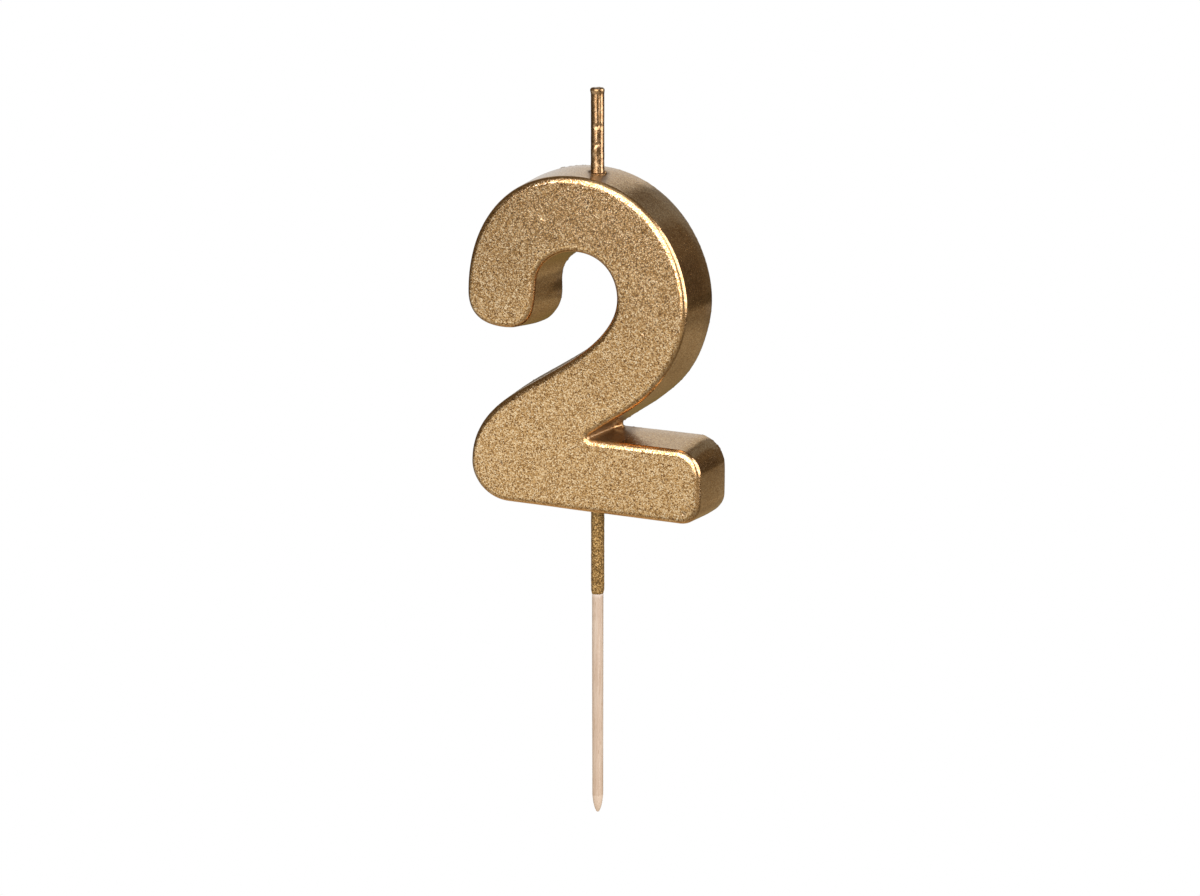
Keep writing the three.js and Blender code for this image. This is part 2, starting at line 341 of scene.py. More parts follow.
def gold_spray():
    """Coarse glittery coat on the pick, duller and more olive than the numeral."""
    s = Shader("gold_spray")
    where = s.place()
    grit = s.channel(s.cells(where, SPRAY_GRIT), "Green")
    patches = s.noise(where, 2400, 2)
    colour = s.ramp(s.plus(s.times(grit, 0.6), s.times(patches, 0.5)), SPRAY_SHADES)
    normal = s.bump(grit, 0.09 * MM, 0.7)
    return s.finish(Base_Color=colour, Metallic=0.75, Roughness=0.42, Normal=normal,
                    Coat_Weight=0.15, Coat_Roughness=0.4)


WOOD_SHADES = [(0.34, (0.33, 0.245, 0.16)), (0.48, (0.395, 0.315, 0.228)), (0.64, (0.46, 0.395, 0.30))]
PORE_SHADES = [(0.26, (0.62, 0.48, 0.33)), (0.34, (1.0, 1.0, 1.0))]
CUT_SHADE = (0.475, 0.40, 0.305)
MASKED_SHADE = (0.53, 0.475, 0.40)


def birch():
    """Pale birch with fine lengthwise grain and a few darker pores. It is paler on the cut point and in
    the ring that was masked when the coat went on."""
    s = Shader("birch")
    grain = s.noise(s.place((1, 1, 0.035)), 3800, 4, 0.65)
    broad = s.noise(s.place((1, 1, 0.06)), 900, 2)
    pores = s.noise(s.place((1, 1, 0.08)), 7000, 1)
    wood = s.ramp(s.plus(s.times(grain, 0.5), s.times(broad, 0.5)), WOOD_SHADES)
    outside = s.mix(0.8, wood, s.ramp(pores, PORE_SHADES), "MULTIPLY")

    height = s.along(s.place(), "Z")
    shaft_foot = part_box("wooden_pick")[0][2] + PICK_TAPER
    coat_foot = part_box("pick_gold_coat")[0][2] + COAT_END_UP
    cut = s.spread(height, shaft_foot - 0.25 * MM, shaft_foot - 0.05 * MM, 1.0, 0.0)
    masked = s.spread(height, coat_foot - 0.9 * MM, coat_foot - 0.1 * MM, 0.0, 0.75)
    colour = s.mix(masked, s.mix(cut, outside, CUT_SHADE), MASKED_SHADE)
    normal = s.bump(grain, 0.05 * MM, 0.5)
    return s.finish(Base_Color=colour, Roughness=0.62, Normal=normal, Specular_IOR_Level=0.35)


WAX_SHADES = [(0.3, (0.80, 0.70, 0.52)), (0.7, (0.90, 0.83, 0.70))]


def bare_wax():
    """Unpainted paraffin: milky and slightly see-through."""
    s = Shader("bare_wax")
    where = s.place()
    colour = s.ramp(s.noise(where, 700, 3), WAX_SHADES)
    normal = s.bump(s.noise(where, 1800, 2), 0.04 * MM, 0.5)
    return s.finish(Base_Color=colour, Roughness=0.42, Normal=normal, Subsurface_Weight=0.2,
                    Subsurface_Scale=1 * MM)


YARN_SHADES = [(0.3, (0.70, 0.65, 0.54)), (0.7, (0.90, 0.87, 0.80))]


def cotton():
    """Waxed cotton yarn with its fibres running along the twist."""
    s = Shader("cotton")
    fibre = s.noise(s.place((1, 1, 0.3)), 9000, 3)
    colour = s.ramp(fibre, YARN_SHADES)
    normal = s.bump(fibre, 0.05 * MM, 0.8)
    return s.finish(Base_Color=colour, Roughness=0.85, Normal=normal, Sheen_Weight=0.2)


def glow(name, colour, pools=()):
    """A glowing surface. Each pool adds a soft round patch of light: (x, y, radius, colour)."""
    s = Shader(name)
    where = s.place()
    light = colour if pools else (*colour, 1)
    for x, y, radius, extra in pools:
        inputs = {0: where, 1: (x, y, GROUND)}
        away = s.add("VectorMath", inputs, operation="DISTANCE").outputs["Value"]
        fade = s.spread(away, 0.0, radius, 1.0, 0.0, interpolation_type="SMOOTHSTEP")
        patch = s.vector("SCALE", {0: extra, "Scale": fade})
        light = s.vector("ADD", {0: light, 1: patch})
    emission = s.add("Emission", {"Color": light, "Strength": 1.0})
    s.tree.links.new(emission.outputs["Emission"], s.output.inputs["Surface"])
    return s.material


# ---- floor and light -------------------------------------------------

LIT_SPOT = Vector((0, 0, 30 * MM))      # the lamps and cards face this spot
LAMP_COLOUR = (1.0, 0.94, 1.0)
WHITE = (1, 1, 1)
FLOOR_REACH = 3.0
TABLE_REACH = 0.9
ROOM = (0.13, 0.095, 0.055)             # light of the warm, dim room around the set
TABLE = (0.07, 0.05, 0.025)
TABLE_POOLS = [
    # x, y, radius and added light of each soft patch on the table
    (-0.21, -0.44, 0.68, (0.83, 0.83, 0.86)),       # the bright table in front
    (-0.12, -0.52, 0.25, (-0.20, -0.20, -0.20)),
    (-0.13, -0.24, 0.26, (0.30, 0.29, 0.27)),
    (0.24, -0.14, 0.24, (0.42, 0.36, 0.27)),        # beside the candle, on its right
    (-0.06, 0.20, 0.30, (0.16, 0.11, 0.03)),        # warm light that the candle throws behind it
    (-0.03, 0.03, 0.14, (0.42, 0.27, 0.10)),
    (0.13, 0.19, 0.19, (0.29, 0.265, 0.22)),        # behind it, on its right
    (0.17, 0.42, 0.14, (0.20, 0.19, 0.18)),
    (0.28, 0.36, 0.18, (0.20, 0.165, 0.12)),
]


def toward(azimuth, elevation):
    """Unit direction: azimuth in degrees turns from straight in front of the face towards +X."""
    a, e = math.radians(azimuth), math.radians(elevation)
    return Vector((math.sin(a) * math.cos(e), -math.cos(a) * math.cos(e), math.sin(e)))


def softbox(name, azimuth, elevation, distance, width, height, radiance, roll=0):
    """A soft lamp that faces the candle; radiance 1 is as bright as the white floor. A negative roll
    lowers the lamp's side towards +X."""
    light = bpy.data.lights.new(name, "AREA")
    light.shape = "RECTANGLE"
    light.size = width
    light.size_y = height
    light.energy = radiance * math.pi * width * height
    light.color = LAMP_COLOUR
    lamp = bpy.data.objects.new(name, light)
    lamp.location = LIT_SPOT + toward(azimuth, elevation) * distance
    facing = (LIT_SPOT - lamp.location).to_track_quat("-Z", "Y")
    lamp.rotation_euler = (facing @ Quaternion((0, 0, 1), math.radians(roll))).to_euler()
    lamp.visible_camera = False
    bpy.context.scene.collection.objects.link(lamp)
    return lamp


def card(name, azimuth, elevation, distance, width, height, colour):
    """A plain board that the candle mirrors and the camera doesn't see."""
    where = LIT_SPOT + toward(azimuth, elevation) * distance
    turn = (LIT_SPOT - where).to_track_quat("Z", "Y").to_matrix()
    corners = [turn @ Vector((x * width / 2, y * height / 2, 0)) + where
               for x, y in ((-1, -1), (1, -1), (1, 1), (-1, 1))]
    board = make_mesh(name, corners, [(0, 1, 2, 3)], glow(name, colour), smooth=False)
    board.visible_camera = False


def level_sheet(name, reach, material):
    corners = [(-reach, -reach, GROUND), (reach, -reach, GROUND), (reach, reach, GROUND),
               (-reach, reach, GROUND)]
    sheet = make_mesh(name, corners, [(0, 1, 2, 3)], material, smooth=False)
    return sheet


def room():
    """White all around for the camera, and a dim, warm room for the candle to mirror."""
    world = bpy.data.worlds.new("studio")
    world.use_nodes = True
    tree = world.node_tree
    tree.nodes.clear()
    path = tree.nodes.new("ShaderNodeLightPath")
    shade = tree.nodes.new("ShaderNodeMix")
    shade.data_type = "RGBA"
    shade.inputs[MIX_A].default_value = (*ROOM, 1)
    shade.inputs[MIX_B].default_value = (*WHITE, 1)
    tree.links.new(path.outputs["Is Camera Ray"], shade.inputs[0])
    background = tree.nodes.new("ShaderNodeBackground")
    tree.links.new(shade.outputs[MIX_RESULT], background.inputs["Color"])
    output = tree.nodes.new("ShaderNodeOutputWorld")
    tree.links.new(background.outputs["Background"], output.inputs["Surface"])
    bpy.context.scene.world = world
    bpy.context.scene.view_settings.view_transform = "Standard"


def white_floor():
    """The floor that only the camera sees."""
    floor = level_sheet("floor", FLOOR_REACH, glow("floor_white", WHITE))
    floor.visible_glossy = False
    floor.visible_diffuse = False
    floor.visible_transmission = False
    floor.visible_shadow = False


def mirrored_set():
    """The table and boards that the candle mirrors, out of the camera's sight."""
    table = level_sheet("table", TABLE_REACH, glow("table_white", TABLE, TABLE_POOLS))
    table.visible_camera = False
    card("backdrop", 205, 19, 0.7, 0.60, 0.55, (0.76, 0.76, 0.76))
    card("side_wall", 172, 16, 0.72, 0.38, 0.56, (0.27, 0.27, 0.27))
    card("dark_gap", 133, 6.5, 0.72, 0.27, 0.26, (0.05, 0.03, 0.01))
    card("ceiling", 20, 80, 0.7, 0.5, 0.5, (0.5, 0.5, 0.5))


def lamps():
    """Two soft lamps, and a third one behind that only lights what is matt."""
    softbox("lamp_front", 7, 28, 0.6, 0.78, 0.72, 5.0, roll=-11)
    softbox("lamp_right", 98, 19, 0.6, 0.56, 0.60, 4.6)
    fill = softbox("lamp_behind", 225, 35, 0.6, 0.5, 0.5, 4.5)
    fill.visible_glossy = False


# ---- the wax numeral: its outline ------------------------------------

AROUND = 1000                       # points in one ring of the body
SAME_DEPTH = 1e-7                   # CAD points closer than this lie at the same depth
OTHER_DEPTH = 1e-6
LEAST_EDGES = 60                    # a ring of the outline has more edges than a hole's rim


def cad_rings(node):
    """The outlines around a CAD slab at each of its depths: {y: points (x, z) in order}."""
    mesh = node.data
    spots, number = [], {}
    index = []
    for v in mesh.vertices:
        key = tuple(round(c, 7) for c in v.co)
        if key not in number:
            number[key] = len(spots)
            spots.append(key)
        index.append(number[key])
    level_edges = {}
    mesh.calc_loop_triangles()
    for triangle in mesh.loop_triangles:
        a, b, c = (index[i] for i in triangle.vertices)
        for p, q, other in ((a, b, c), (b, c, a), (c, a, b)):
            y = spots[p][1]
            level = abs(y - spots[q][1]) < SAME_DEPTH and abs(y - spots[other][1]) > OTHER_DEPTH
            if p != q and level:
                level_edges.setdefault(round(y, 6), set()).add((min(p, q), max(p, q)))
    return {y: walk_loop(edges, spots) for y, edges in level_edges.items() if len(edges) > LEAST_EDGES}


def walk_loop(edges, spots):
    """The points (x, z) of the longest closed chain of edges, in order."""
    near = {}
    for a, b in edges:
        near.setdefault(a, []).append(b)
        near.setdefault(b, []).append(a)
    best, seen = [], set()
    for start in sorted(near):
        if start in seen:
            continue
        chain, last, here = [start], None, start
        while True:
            seen.add(here)
            ahead = [n for n in near[here] if n != last and n not in seen]
            if not ahead:
                break
            last, here = here, ahead[0]
            chain.append(here)
        if len(chain) > len(best):
            best = chain
    return np.array([(spots[i][0], spots[i][2]) for i in best])


def from_corner(ring):
    """The ring anticlockwise, starting at the middle of the bar's lower right corner."""
    x, z = ring[:, 0], ring[:, 1]
    if np.sum(x * np.roll(z, -1) - np.roll(x, -1) * z) < 0:
        ring = ring[::-1]
    return np.roll(ring, -int(np.argmax(ring[:, 0] - ring[:, 1])), axis=0)


def smooth_loop(knots, values, at):
    """A smooth closed curve through values at knots (0 to 1), read at the parameters in at."""
    count = len(knots)
    k = np.searchsorted(knots, at, side="right") - 1
    before, after, beyond = (k - 1) % count, (k + 1) % count, (k + 2) % count
    span = np.diff(np.append(knots, 1.0))
    step = span[k][:, None]
    slope_here = (values[after] - values[before]) / (span[before] + span[k])[:, None] * step
    slope_there = (values[beyond] - values[k]) / (span[k] + span[after])[:, None] * step
    t = ((at - knots[k]) / span[k])[:, None]
    rise = t * t * (3 - 2 * t)
    return (values[k] * (1 - rise) + values[after] * rise
            + slope_here * t * (1 - t) ** 2 - slope_there * t * t * (1 - t))


def fine_rings(slab):
    """Depths and outlines of the body's four rings, from face to back, with AROUND matching points each:
    edge of the flat face, end of its rounding, start of the back edge, edge of the flat back."""
    rings = cad_rings(slab)
    levels = sorted(rings)
    middle = (levels[0] + levels[-1]) / 2
    rounding_end = max(y for y in levels if y < middle)
    back_edge = min(y for y in levels if y > middle)
    depths = [levels[0], rounding_end, back_edge, levels[-1]]
    loops = [from_corner(rings[y]) for y in depths]
    side = np.linalg.norm(np.roll(loops[1], -1, axis=0) - loops[1], axis=1)
    knots = np.concatenate([[0], np.cumsum(side)[:-1]]) / side.sum()
    at = np.arange(AROUND) / AROUND
    return depths, [smooth_loop(knots, loop, at) for loop in loops]


# ---- the wax numeral: its body ---------------------------------------

ROUND_ROWS = 12                     # rows of points across the rounded edge of the face,
WALL_ROWS = 24                      # across the side wall
BACK_ROWS = 4                       # and across the back edge
WALL_STEEP = 1.3                    # how fast the wall spreads at the front
WALL_LEVEL = 0.97                   # the spread at which it runs straight on
WALL_BEND = 0.02                    # how softly it bends there
LEANS_MM = [
    # x, z and radius of a place where the back edge spreads out more, and how much
    (17.0, 31.0, 9.0, 0.35),
    (-10.5, 42.5, 4.5, 0.35),
    (23.6, 1.0, 4.2, -0.35),        # here it spreads less
]

NOTCH = np.array((1.65, 16.36)) * MM    # x, z of the corner between bar and diagonal, near the back
NOTCH_ANGLE = math.radians(34.4)
NOTCH_ROUND = 0.25 * MM             # least radius of that corner
WEB_ROUND = 0.8 * MM                # what the web of wax behind it adds to the radius
WEB_START = 3.0 * MM                # the web runs from this depth to the back
WEB_RISE = 0.6 * MM
WEB_FULL = 3.8 * MM                 # and gets thinner again behind this depth
WEB_FADE = 0.6


def wall_spread(t):
    """How far the side wall has spread from front (0) to back (1)."""
    steep = WALL_STEEP * t
    return (steep + WALL_LEVEL - math.sqrt((steep - WALL_LEVEL) ** 2 + WALL_BEND)) / 2


def fill_notch(flat, y):
    """Rounds the corner of the notch off with the web of wax that the mould leaves behind it."""
    web = smoothstep(WEB_START, WEB_START + WEB_RISE, y)
    web = web * (1 - WEB_FADE * smoothstep(WEB_FULL, BACK, y))
    if web == 0:
        return flat
    radius = NOTCH_ROUND + WEB_ROUND * web
    half = NOTCH_ANGLE / 2
    out = np.array([math.cos(half), math.sin(half)])
    centre = NOTCH + out * radius / math.sin(half)
    arm = flat - centre
    reach = np.linalg.norm(arm, axis=1)
    inward = -arm @ out > math.sin(half) * reach
    corner = inward & (reach > radius) & (reach < radius / math.sin(half) + 1 * MM)
    return np.where(corner[:, None], centre + arm * (radius / reach)[:, None], flat)


def leaned(front, ring):
    """The ring spread a little more at the places in LEANS_MM, away from the front ring."""
    out = ring - front
    out /= np.linalg.norm(out, axis=1)[:, None]
    for x, z, radius, spread in LEANS_MM:
        away = np.hypot(ring[:, 0] - x * MM, ring[:, 1] - z * MM)
        ring = ring + out * (spread * MM * hill(away, 0, radius * MM))[:, None]
    return ring


def body_rows(depths, loops):
    """All rings of the body from back to face, as points in space."""
    face, front, back, rear = loops
    back, rear = leaned(front, back), rear + leaned(front, back) - back
    rows = []
    for i in range(ROUND_ROWS):
        turn = i / ROUND_ROWS * math.pi / 2
        flat = face + (front - face) * math.sin(turn)
        rows.append((flat, depths[0] + (depths[1] - depths[0]) * (1 - math.cos(turn))))
    for i in range(WALL_ROWS):
        t = i / WALL_ROWS
        flat = front + (back - front) * wall_spread(t) / wall_spread(1)
        rows.append((flat, depths[1] + (depths[2] - depths[1]) * t))
    for i in range(BACK_ROWS + 1):
        turn = i / BACK_ROWS * math.pi / 2
        flat = back + (rear - back) * (1 - math.cos(turn))
        rows.append((flat, depths[2] + (depths[3] - depths[2]) * math.sin(turn)))
    rows = [(fill_notch(flat, y), y) for flat, y in reversed(rows)]
    return [np.stack([flat[:, 0], np.full(len(flat), y), flat[:, 1]], 1) for flat, y in rows]


# ---- the wax numeral: its flat face and back -------------------------

FACE_GRID = 0.8 * MM                # spacing of the points inside the flat face
BACK_GRID = 1.4 * MM
GRID_ROW = 0.87                     # height of one row of that grid, in spacings
GRID_SCATTER = 0.12                 # how far its points are scattered, in spacings
GRID_SEED = 7
CAP_SCALE = 1000.0                  # the triangles are found at this scale, where points lie about 1 apart
CAP_NEAR = 1e-6                     # and there, points this close are one
PITS_MM = [(-19.6, 8.4, 0.34), (22.2, 2.5, 0.4), (-9.4, 61.0, 0.2), (13.1, 39.2, 0.2)]  # x, z, radius
PIT_RINGS = [(0.35, 6), (0.7, 10), (1.05, 14)]      # share of a pit's radius, points in that ring


def inside(points, ring):
    """Which points lie inside a closed outline."""
    x, z = points[:, :1], points[:, 1:]
    x0, z0 = ring[:, 0], ring[:, 1]
    x1, z1 = np.roll(x0, -1), np.roll(z0, -1)
    rise = np.where(z1 == z0, 1e-12, z1 - z0)
    crosses = ((z0 > z) != (z1 > z)) & (x < x0 + (z - z0) / rise * (x1 - x0))
    return crosses.sum(1) % 2 == 1


def least_gap(points, others):
    """Distance from each point to the nearest of the others."""
    return np.linalg.norm(points[:, None] - others[None], axis=2).min(1)


def loose_grid(ring, spacing, extra):
    """Points inside an outline, a little scattered, and the extra ones."""
    scatter = np.random.default_rng(GRID_SEED)
    low, high = ring.min(0), ring.max(0)
    grid = []
    for r, z in enumerate(np.arange(low[1], high[1], spacing * GRID_ROW)):
        for x in np.arange(low[0], high[0], spacing):
            grid.append((x + spacing / 2 * (r % 2), z))
    grid = np.array(grid) + scatter.uniform(-GRID_SCATTER, GRID_SCATTER, (len(grid), 2)) * spacing
    if len(extra):
        grid = np.concatenate([grid[least_gap(grid, extra) > 0.4 * spacing], extra])
    grid = grid[inside(grid, ring)]
    return grid[least_gap(grid, ring) > 0.45 * spacing]


def flat_cap(ring, spacing, extra):
    """New points inside an outline and triangles over the ring's points followed by the new ones."""
    new = loose_grid(ring, spacing, np.array(extra, float).reshape(-1, 2))
    spots = [Vector(p) * CAP_SCALE for p in np.concatenate([ring, new])]
    outline = [list(range(len(ring)))]
    found = delaunay_2d_cdt(spots, [], outline, 1, CAP_NEAR)
    faces, origins = found[2], found[3]
    first = [origin[0] for origin in origins]
    return new, [tuple(first[i] for i in face) for face in faces]


def pit_points():
    """Rings of extra points that let the face sink at each pit."""
    spots = []
    for x, z, radius in PITS_MM:
        spots.append((x * MM, z * MM))
        for share, count in PIT_RINGS:
            for i in range(count):
                a = TAU * i / count
                across, up = radius * share * math.cos(a), radius * share * math.sin(a)
                spots.append(((x + across) * MM, (z + up) * MM))
    return spots


# ---- the wax numeral: its surface ------------------------------------

WAVE = 0.035 * MM                   # slow waviness of the cast wax
WAVE_LENGTH = 7 * MM
RIPPLE = 0.008 * MM
RIPPLE_LENGTH = 1.2 * MM
PIT_DEPTH = 0.11 * MM
NICKS_MM = [
    # x, z, radius and depth
    (-8.0, 28.5, 0.7, 0.16),
    (-26.2, 55.6, 0.5, 0.08),
    (3.4, 35.8, 0.6, 0.07),
]
NICK_BEHIND = 0.5 * MM              # the middle of a nick lies this far behind the face
BURR = 0.51 * MM                    # scale of the crumbs along the back edge, where the mould opened
CRUMB_LENGTH = 0.55 * MM
CRUMB_LEAST = 0.12                  # noise below this makes no crumb
CRUMB_PATCH = 9 * MM                # length of the stretches with and without crumbs
CRUMB_SHARE = 0.35
WALL_GRAIN = 0.42                   # grain of the paint on the side walls; it is 1 on the face
NOTCH_PAINTED_SHADE = 0.73                  # how dark the painted shade is deep in the notch, 1 being full
PIT_PAINTED_SHADE_WIDTH = 1.6               # the painted shade around a pit reaches this many radii


def normals_of(points, faces):
    mesh = bpy.data.meshes.new("probe")
    mesh.from_pydata([tuple(p) for p in points], [], faces)
    mesh.update()
    normals = np.array([v.vector[:] for v in mesh.vertex_normals])
    bpy.data.meshes.remove(mesh)
    return normals


def weathered(points, normals, depths):
    """The cast surface: slow waves, fine ripple, pits and nicks in the face, crumbs on the back edge."""
    waves = WAVE * rough(points, WAVE_LENGTH, 1) + RIPPLE * rough(points, RIPPLE_LENGTH, 2)
    moved = points + normals * waves[:, None]
    x, y, z = points.T
    for pit_x, pit_z, radius in PITS_MM:
        away = np.hypot(x - pit_x * MM, z - pit_z * MM)
        moved[:, 1] += PIT_DEPTH * hill(away, 0, radius * MM) * (y < depths[0] + 0.1 * MM)
    for nick_x, nick_z, radius, depth in NICKS_MM:
        behind = y - depths[0] - NICK_BEHIND
        away = np.sqrt((x - nick_x * MM) ** 2 + (z - nick_z * MM) ** 2 + behind ** 2)
        moved -= normals * (depth * MM * hill(away, 0, radius * MM) * (y < depths[1]))[:, None]
    crumbs = np.clip(rough(points, CRUMB_LENGTH, 3) - CRUMB_LEAST, 0, None)
    crumbs *= np.clip(rough(points, CRUMB_PATCH, 4) + CRUMB_SHARE, 0, 1)
    edge = hill(y, depths[2] + 0.1 * MM, 0.3 * MM)
    outward = normals * np.array([1, 0, 1])
    return moved + outward * (BURR * crumbs * edge)[:, None]


def facing_of(mesh):
    """How squarely each point of a mesh looks to the front or the back, from 0 to 1."""
    return np.abs(np.array([v.vector[1] for v in mesh.vertex_normals]))


def set_marks(mesh, name, values):
    """Gives each point a value that the paint can read."""
    mark = mesh.attributes.new(name, "FLOAT", "POINT")
    mark.data.foreach_set("value", values.astype(np.float32))


def mark_grain(body):
    """Tells the paint how rough its flakes lie: most on the face, least on the walls."""
    face = smoothstep(0.70, 0.985, facing_of(body.data))
    set_marks(body.data, "grain", WALL_GRAIN + (1 - WALL_GRAIN) * face)


def mark_painted_shade(body):
    """Marks where shade is painted into the paint: deep in the notch and the pits, around the wick's root
    and on the crown in front of it.
    """
    mesh = body.data
    points = np.empty(len(mesh.vertices) * 3)
    mesh.vertices.foreach_get("co", points)
    x, y, z = points.reshape(-1, 3).T
    pocket_shade = 1 - smoothstep(3.5, 7.5, np.hypot(x - NOTCH[0], z - NOTCH[1]) / MM)
    front = np.minimum(y, 0)                        # the painted shade reaches furthest in front of the wick
    from_wick = np.hypot(x + 0.48 * front, y - 0.62 * front)
    root = (1 - smoothstep(1.5, 2.9, from_wick / MM)) * (z > WICK_HOLE_FLOOR)
    painted_shade = np.maximum(NOTCH_PAINTED_SHADE * pocket_shade, root) * (1 - smoothstep(0.3, 0.8, facing_of(mesh)))
    for pit_x, pit_z, radius in PITS_MM:
        away = np.hypot(x - pit_x * MM, z - pit_z * MM)
        painted_shade = np.maximum(painted_shade, hill(away, 0, PIT_PAINTED_SHADE_WIDTH * radius * MM) * (y < 0))
    set_marks(mesh, "painted_shade", painted_shade)


# ---- the wax numeral: its holes --------------------------------------

WICK_HOLE_R = 1.15 * MM
WICK_HOLE_FLOOR = 59.3 * MM
HOLE_SIDES = 48
SOCKET_START = -5 * MM              # below the sole, so that the socket is open


def drill(body, profile):
    """Cuts a turned hole out of the body, from (radius, height) pairs that go up."""
    def place(angles, row):
        return row
    cutter = turned("cutter", body.data.materials[0], profile, HOLE_SIDES, place)
    cut = body.modifiers.new("cut", "BOOLEAN")
    cut.operation = "DIFFERENCE"
    cut.solver = "EXACT"
    cut.object = cutter
    bpy.context.view_layer.update()
    solved = body.evaluated_get(bpy.context.evaluated_depsgraph_get())
    body.data = bpy.data.meshes.new_from_object(solved)
    body.modifiers.remove(cut)
    bpy.data.objects.remove(cutter)


def drill_holes(body):
    """The wick's hole with its wider mouth, and the pick's socket."""
    mouth_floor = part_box("wick_seal")[0][2] - CLEARANCE
    mouth_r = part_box("wick_seal")[1][0] + CLEARANCE
    above = cad_box[1][2]
    drill(body, [(WICK_HOLE_R, WICK_HOLE_FLOOR), (WICK_HOLE_R, mouth_floor), (mouth_r, mouth_floor),
                 (mouth_r, above)])
    socket_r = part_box("pick_bond_wax")[1][0] + CLEARANCE
    socket_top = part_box("pick_bond_wax")[1][2] + CLEARANCE
    drill(body, [(socket_r, SOCKET_START), (socket_r, socket_top)])


def wax_numeral(material):
    """The painted wax body."""
    depths, loops = fine_rings(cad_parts["wax_numeral"])
    rows = body_rows(depths, loops)
    points = list(rows)
    faces = skin(len(rows), AROUND)
    count = len(rows) * AROUND
    back, face = 0, len(rows) - 1
    for row, spacing, extra, facing in ((back, BACK_GRID, [], -1), (face, FACE_GRID, pit_points(), 1)):
        new, triangles = flat_cap(rows[row][:, (0, 2)], spacing, extra)
        points.append(np.stack([new[:, 0], np.full(len(new), rows[row][0, 1]), new[:, 1]], 1))
        number = np.concatenate([row * AROUND + np.arange(AROUND), count + np.arange(len(new))])
        faces += [tuple(int(i) for i in number[list(t)][::facing]) for t in triangles]
        count += len(new)
    points = np.concatenate(points)
    points = weathered(points, normals_of(points, faces), depths)
    body = make_mesh("wax_numeral_painted", points, faces, material)
    drill_holes(body)
    body.data.polygons.foreach_set("use_smooth", [True] * len(body.data.polygons))
    body.data.set_sharp_from_angle(angle=math.radians(50))
    mark_grain(body)
    # painted shade in the notch, the pits and around the wick's root
    mark_painted_shade(body)
    attach(body, "gold_wax", "wax_numeral")


# ---- the wick's strands ----------------------------------------------

STRANDS = 3
STRAND_R = 0.27 * MM
STRAND_SIDES = 24
STRAND_STEP = 0.12 * MM             # between two rings of points
PLAIT_PITCH = 6 * MM
PLAIT_WIDE = 0.62 * MM
PLAIT_THICK = 0.45 * MM
YARNS = 3                           # yarns twisted into one strand
YARN_TWIST = 1.5 * MM               # length of one turn of that twist
YARN_DEPTH = 0.28                   # depth of the valleys between yarns, in strand radii


def plait_path(z, phase):
    turn = TAU * z / PLAIT_PITCH + phase
    return np.array([PLAIT_WIDE * math.sin(turn), PLAIT_THICK * math.sin(2 * turn), z])


def unit(vector):
    return vector / np.linalg.norm(vector)


def strand_ring(z, phase, angles):
    """One ring of points around a strand, with a lobe for each of its yarns."""
    here = plait_path(z, phase)
    along = unit(plait_path(z + 0.01 * MM, phase) - here)
    across = unit(np.cross(along, (0, 1, 0)))
    through = np.cross(along, across)
    lobes = np.abs(np.cos((angles + TAU * z / YARN_TWIST) * YARNS / 2))
    radius = STRAND_R * (1 - YARN_DEPTH + YARN_DEPTH * lobes)
    return here + (radius * np.cos(angles))[:, None] * across + (radius * np.sin(angles))[:, None] * through


def wick_strand(number, material):
    """One strand of the plait: a rope of three yarns that swings along the same path as its CAD tube."""
    name = f"wick_strand_{number}"
    low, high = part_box(name)
    phase = TAU * (number - 1) / STRANDS
    angles = np.arange(STRAND_SIDES) * TAU / STRAND_SIDES
    heights = np.arange(low[2], high[2], STRAND_STEP)
    rows = [strand_ring(z, phase, angles) for z in heights]
    last = (len(rows) - 1) * STRAND_SIDES
    lower_end = tuple(reversed(range(STRAND_SIDES)))
    upper_end = tuple(last + i for i in range(STRAND_SIDES))
    faces = skin(len(rows), STRAND_SIDES) + [lower_end, upper_end]
    piece = make_mesh(f"{name}_yarn", np.concatenate(rows), faces, material)
    attach(piece, "cotton", name)


# ---- the wick's lacquer and seal -------------------------------------

CROWN = 70.3 * MM                   # height of the crown where the wick stands
CROWN_SLOPE = 0.099                 # how the crown rises towards the back
CROWN_FALL = 0.03                   # and falls towards the right
CROWN_BEND = 56 * MM                # twice the radius of its curve
COAT_R = 1.37 * MM
COAT_BORE = 1.05 * MM
COAT_SIDES = 96
COAT_STEP = 0.12 * MM
COAT_SETTLE = 3 * MM                # the rows this near the crown follow its slope
SEAM = math.radians(-56)            # the groove between the plait's two sides faces this way
GROOVE_DEPTH = 0.11 * MM
BACK_GROOVE_DEPTH = 0.09 * MM       # of the groove on the other side
PINCH_DOWN = 7.7 * MM               # a pinched place, below the tip
PINCH_DEPTH = 0.12 * MM
WRINKLE_DOWN = 12.4 * MM            # a wrinkle, below the tip
WRINKLE_HEIGHT = 0.10 * MM
WRINKLE_DENT = 0.09 * MM            # the dent just above it
TIP_R = 1.47 * MM
TIP_LENGTH = 1.5 * MM               # of the dipped tip
TIP_SWELL = 0.9 * MM                # it widens over this length
TIP_ROUND = 0.6 * MM                # and rolls over with this radius
TIP_DROP = 0.16 * MM                # its rim lies this far below the CAD tip
TIP_LUMP = SEAM - 1.45              # direction of a lump on it
TIP_DISH = 0.12 * MM
LID_UNDER = 0.45 * MM               # the inside of the tip, below the CAD tip
SEAL_BORE = 1.06 * MM
SEAL_SIDES = 72
BLOB_HEIGHT = 0.5 * MM


def crown_rise(angles, radius):
    """How much higher than CROWN the crown is, a little away from the wick's middle."""
    x, y = radius * np.cos(angles), radius * np.sin(angles)
    return CROWN_SLOPE * y - CROWN_FALL * x - x * x / CROWN_BEND


